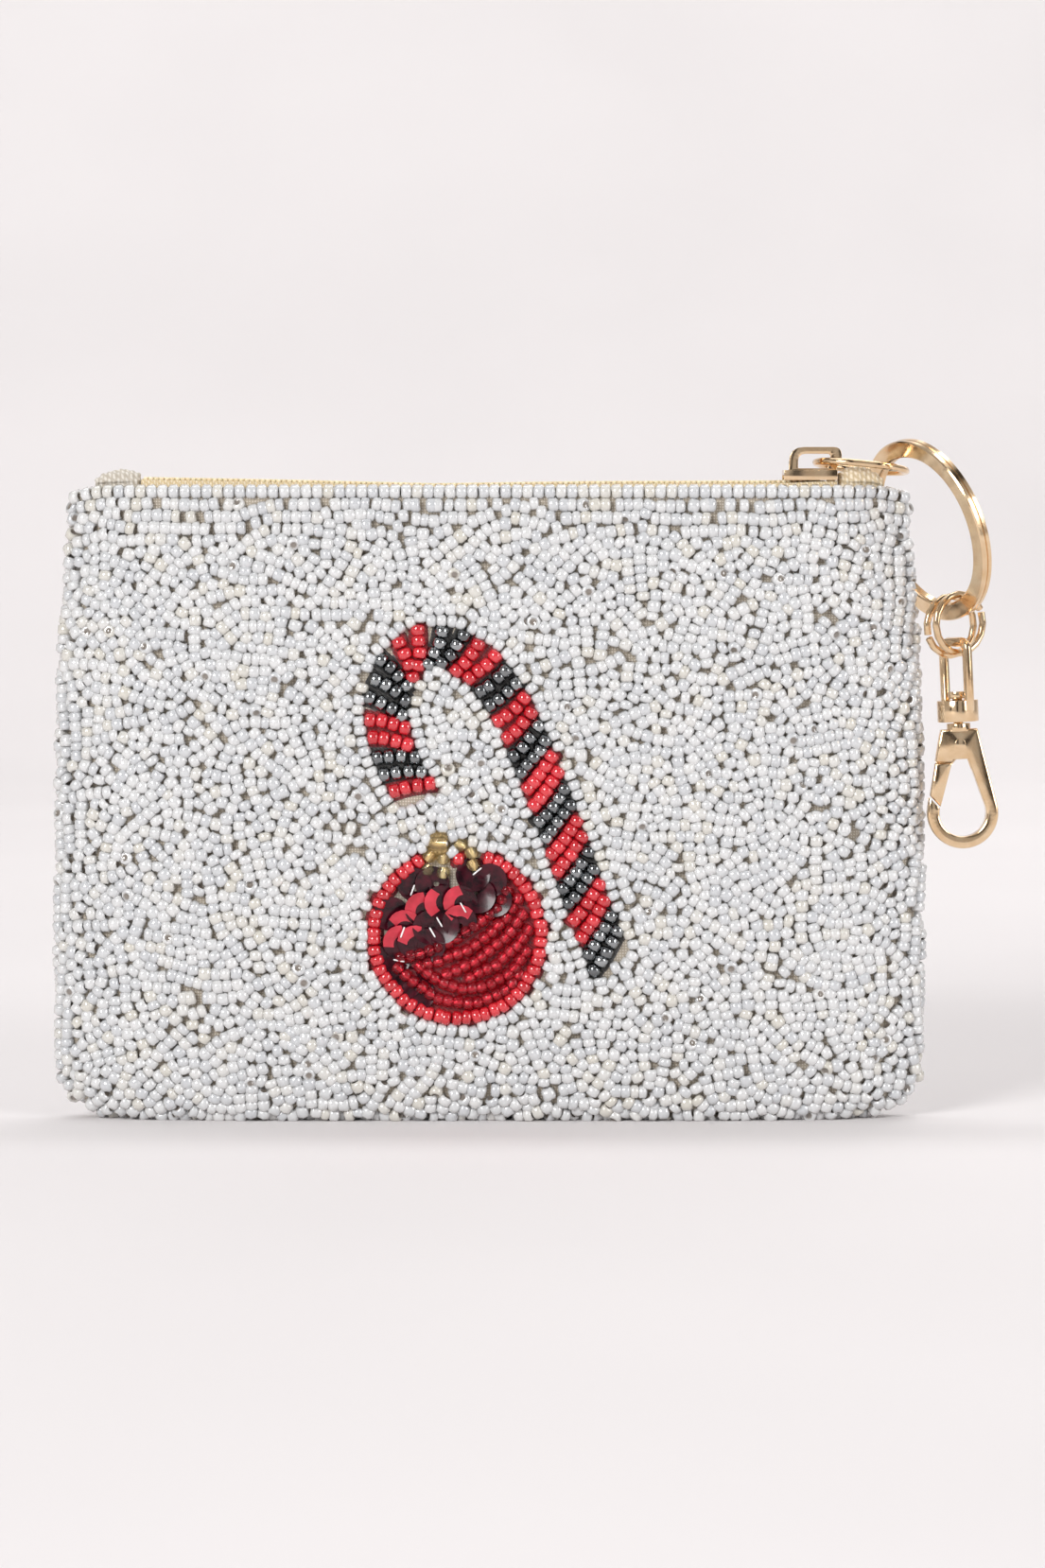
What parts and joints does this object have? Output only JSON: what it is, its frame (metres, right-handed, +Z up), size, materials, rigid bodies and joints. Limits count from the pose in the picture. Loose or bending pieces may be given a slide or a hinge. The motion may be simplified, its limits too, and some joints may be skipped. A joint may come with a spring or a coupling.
{
  "type": "beaded zip pouch",
  "caption": "Small flat pouch covered in seed beads, closed by a zip, with a split ring and a swivel snap hook hanging at its top corner.",
  "frame": {"origin": "middle of the flat base that the pouch stands on", "axes": "+X to the right along the pouch's width, +Y from the front to the back, +Z up"},
  "size_m": [0.1511, 0.027, 0.1092],
  "materials": {
    "beaded_cloth": "cloth closely covered with glossy pearl white glass seed beads",
    "zip_cloth": "cream woven zip tape and coil",
    "tab_cloth": "grey beige woven tape end",
    "gold_plate": "polished pale gold plating"
  },
  "bodies": {
    "pouch": {"beaded_body": "beaded_cloth", "zip_tape_front": "zip_cloth", "zip_tape_back": "zip_cloth", "zip_coil": "zip_cloth", "zip_tab_left": "tab_cloth", "zip_tab_right": "zip_cloth", "zip_slider": "gold_plate", "pull_link": "gold_plate", "split_ring": "gold_plate", "jump_ring_front": "gold_plate", "jump_ring_back": "gold_plate", "swivel_eye": "gold_plate"},
    "hook": {"hook_frame": "gold_plate"},
    "gate": {"hook_gate": "gold_plate"}
  },
  "joints": [
    {"name": "swivel", "type": "hinge", "parent": "pouch", "child": "hook", "pos_m": [0.07497, -0.00299, 0.06413], "axis": [-0.0488, 0.0227, 0.9985], "continuous": true},
    {"name": "gate_hinge", "type": "hinge", "parent": "hook", "child": "gate", "pos_m": [0.07515, -0.00307, 0.06054], "axis": [-0.0011, -0.9997, 0.0226], "range_deg": [0, 24], "stiffness_Nm_per_rad": 0.01, "springref_deg": -17.19}
  ]
}
